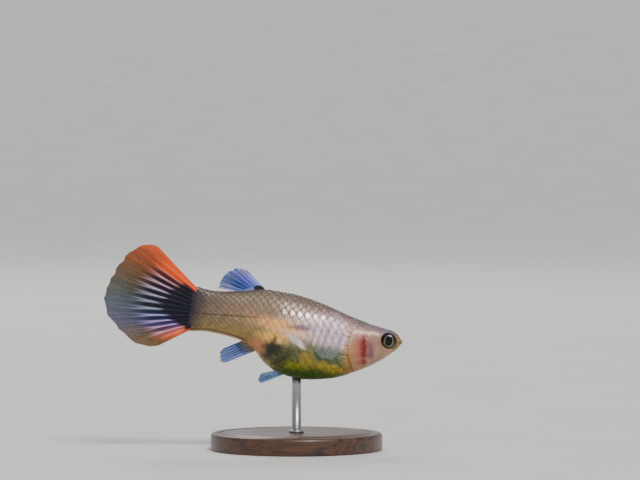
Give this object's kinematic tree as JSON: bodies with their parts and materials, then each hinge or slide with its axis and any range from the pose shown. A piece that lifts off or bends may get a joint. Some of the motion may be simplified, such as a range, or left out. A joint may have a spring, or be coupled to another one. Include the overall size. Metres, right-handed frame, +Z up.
{
  "type": "fancy guppy display model",
  "caption": "Life-size still model of a female fancy guppy, swimming slightly nose down, held over a round base by one short rod.",
  "frame": {"origin": "centre of the round base's underside, below the rod", "axes": "+Z up, +X towards the fish's nose, +Y to the fish's left"},
  "size_m": [0.052, 0.03, 0.0365],
  "materials": {
    "skin": "moist scaled skin, tan back, silver flank, gold and green belly",
    "eye": "glossy silver iris round a black pupil",
    "tail_membrane": "thin translucent membrane, orange edges, navy base and pale rays",
    "fin_membrane": "thin translucent blue violet membrane with pale rays",
    "clear_membrane": "thin clear membrane with fine rays",
    "rod": "satin",
    "base": "satin turned walnut"
  },
  "bodies": {
    "root": {"head": "skin", "torso": "skin", "tail_peduncle": "skin", "gill_cover_l": "skin", "gill_cover_r": "skin", "eye_l": "eye", "eye_r": "eye", "fin_caudal": "tail_membrane", "fin_dorsal": "fin_membrane", "fin_anal": "fin_membrane", "fin_pelvic_l": "fin_membrane", "fin_pelvic_r": "fin_membrane", "fin_pectoral_l": "clear_membrane", "fin_pectoral_r": "clear_membrane", "stand_rod": "rod", "stand_base": "base"}
  },
  "joints": []
}
